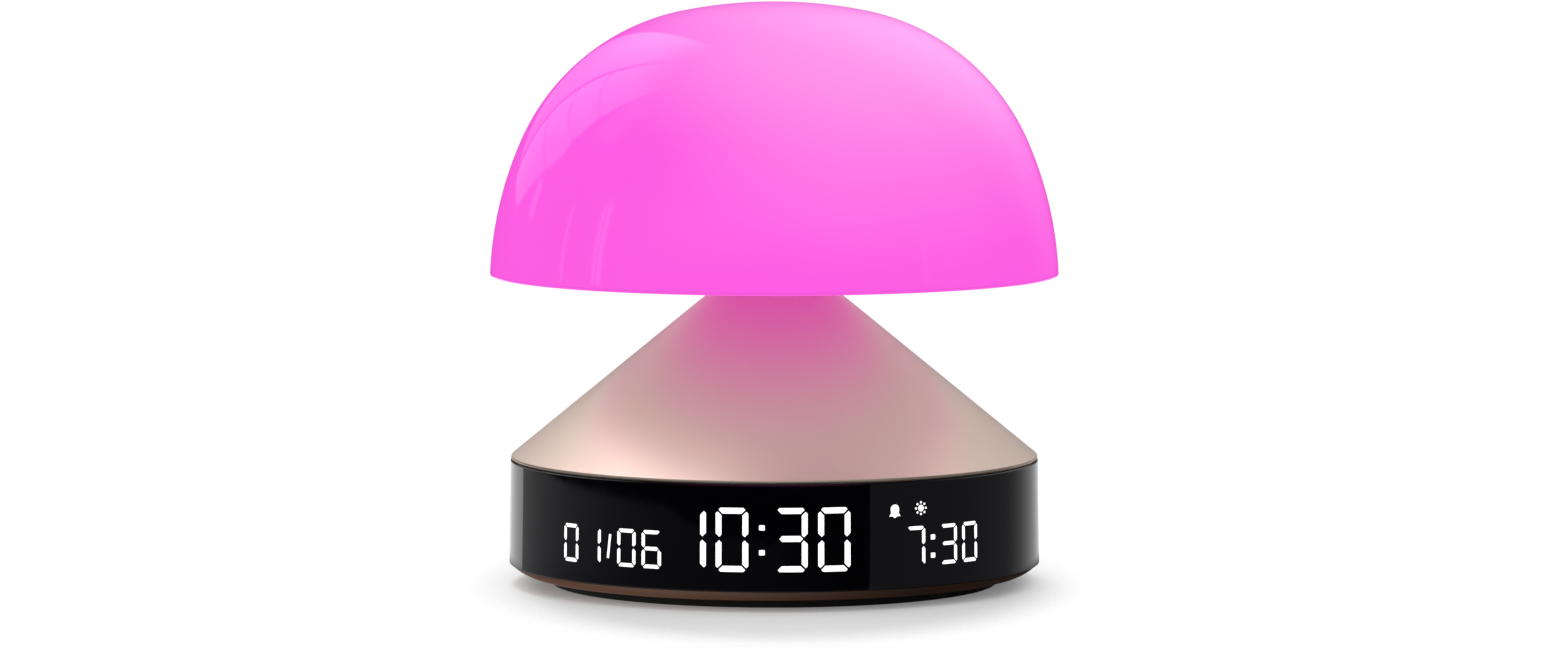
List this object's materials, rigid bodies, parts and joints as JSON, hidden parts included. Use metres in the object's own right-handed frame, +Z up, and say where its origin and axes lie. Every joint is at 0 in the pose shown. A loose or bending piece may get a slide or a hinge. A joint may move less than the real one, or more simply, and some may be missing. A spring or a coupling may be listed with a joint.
{
  "type": "sunrise alarm clock",
  "caption": "Sunrise alarm clock: a domed wake-up lamp that is pressed to snooze, on a metal cone over a round base with a curved black display, rear buttons, speaker and power socket.",
  "frame": {"origin": "on the table under the middle of the foot, on the clock's axis", "axes": "+Z up along the clock's axis; the display faces -Y and the sockets and buttons face +Y; +X is to the right of someone who reads the display"},
  "size_m": [0.15, 0.15, 0.1535],
  "materials": {
    "lit_magenta": "opal diffuser, satin, lit magenta from inside",
    "champagne_metal": "fine satin champagne metal",
    "piano_black": "high gloss black, translucent to the display",
    "lit_white": "lit white windows, flush",
    "rose_gold": "satin rose gold",
    "foot_rubber": "matt black rubber",
    "button_black": "satin black caps",
    "white_plastic": "moulded white",
    "black_plastic": "moulded black",
    "circuit_green": "solder-masked circuit board",
    "white_board": "white solder-masked aluminium board",
    "led_body": "moulded lamp packages",
    "ribbon_white": "ivory plastic",
    "spring_steel": "drawn spring wire",
    "switch_black": "small moulded switch bodies",
    "plain_aluminium": "stamped aluminium",
    "wire_red": "insulated wire",
    "chip_black": "moulded chip packages",
    "capacitor_can": "sleeved aluminium cans",
    "plated_steel": "nickel plated steel",
    "speaker_paper": "pressed paper cone"
  },
  "bodies": {
    "base": {"foot_ring": "foot_rubber", "base_pan": "rose_gold", "display_band": "piano_black", "time_digits": "lit_white", "date_digits": "lit_white", "alarm_digits": "lit_white", "alarm_icons": "lit_white", "light_mask": "white_plastic", "display_board": "circuit_green", "display_leds": "led_body", "display_ribbon": "ribbon_white", "inner_deck": "black_plastic", "cone_shell": "champagne_metal", "lamp_tower": "white_plastic", "head_spring": "spring_steel", "snooze_switch": "switch_black", "led_heat_spreader": "plain_aluminium", "led_board": "white_board", "led_emitters": "led_body", "lamp_wires": "wire_red", "main_board": "circuit_green", "microcontroller": "chip_black", "control_chips": "chip_black", "board_connectors": "ribbon_white", "board_capacitors": "capacitor_can", "clock_crystal": "plated_steel", "cell_holder": "black_plastic", "backup_cell": "plated_steel", "cell_contact": "plated_steel", "speaker_box": "black_plastic", "speaker_frame": "black_plastic", "speaker_magnet": "plated_steel", "speaker_diaphragm": "speaker_paper", "speaker_wires": "wire_red", "usb_c_shell": "plated_steel", "usb_c_tongue": "switch_black", "rear_switches": "switch_black", "rear_switch_boards": "circuit_green", "base_screws": "plated_steel", "board_screws": "plated_steel", "cone_screws": "plated_steel", "tower_screws": "plated_steel", "retainer_screws": "plated_steel"},
    "lamp_head": {"dome_shade": "lit_magenta", "underside_diffuser": "lit_magenta", "guide_sleeve": "white_plastic"},
    "light_button": {"light_button": "button_black"},
    "dimmer_button": {"dimmer_button": "button_black"},
    "sound_button": {"sound_button": "button_black"},
    "volume_button": {"volume_button": "button_black"},
    "alarm_button": {"alarm_button": "button_black"},
    "clock_button": {"clock_button": "button_black"}
  },
  "joints": [
    {"name": "head_press", "type": "slide", "parent": "base", "child": "lamp_head", "axis": [0, 0, -1], "range_m": [0, 0.0012], "stiffness_N_per_m": 1500, "springref_m": -0.003, "deforming": ["head_spring"]},
    {"name": "light_press", "type": "slide", "parent": "base", "child": "light_button", "axis": [-0.7431, -0.6691, 0], "range_m": [0, 0.0006], "stiffness_N_per_m": 2500, "springref_m": -0.0004},
    {"name": "dimmer_press", "type": "slide", "parent": "base", "child": "dimmer_button", "axis": [-0.5878, -0.809, 0], "range_m": [0, 0.0006], "stiffness_N_per_m": 2500, "springref_m": -0.0004},
    {"name": "sound_press", "type": "slide", "parent": "base", "child": "sound_button", "axis": [-0.4067, -0.9135, 0], "range_m": [0, 0.0006], "stiffness_N_per_m": 2500, "springref_m": -0.0004},
    {"name": "volume_press", "type": "slide", "parent": "base", "child": "volume_button", "axis": [0.4067, -0.9135, 0], "range_m": [0, 0.0006], "stiffness_N_per_m": 2500, "springref_m": -0.0004},
    {"name": "alarm_press", "type": "slide", "parent": "base", "child": "alarm_button", "axis": [0.5878, -0.809, 0], "range_m": [0, 0.0006], "stiffness_N_per_m": 2500, "springref_m": -0.0004},
    {"name": "clock_press", "type": "slide", "parent": "base", "child": "clock_button", "axis": [0.7431, -0.6691, 0], "range_m": [0, 0.0006], "stiffness_N_per_m": 2500, "springref_m": -0.0004}
  ]
}
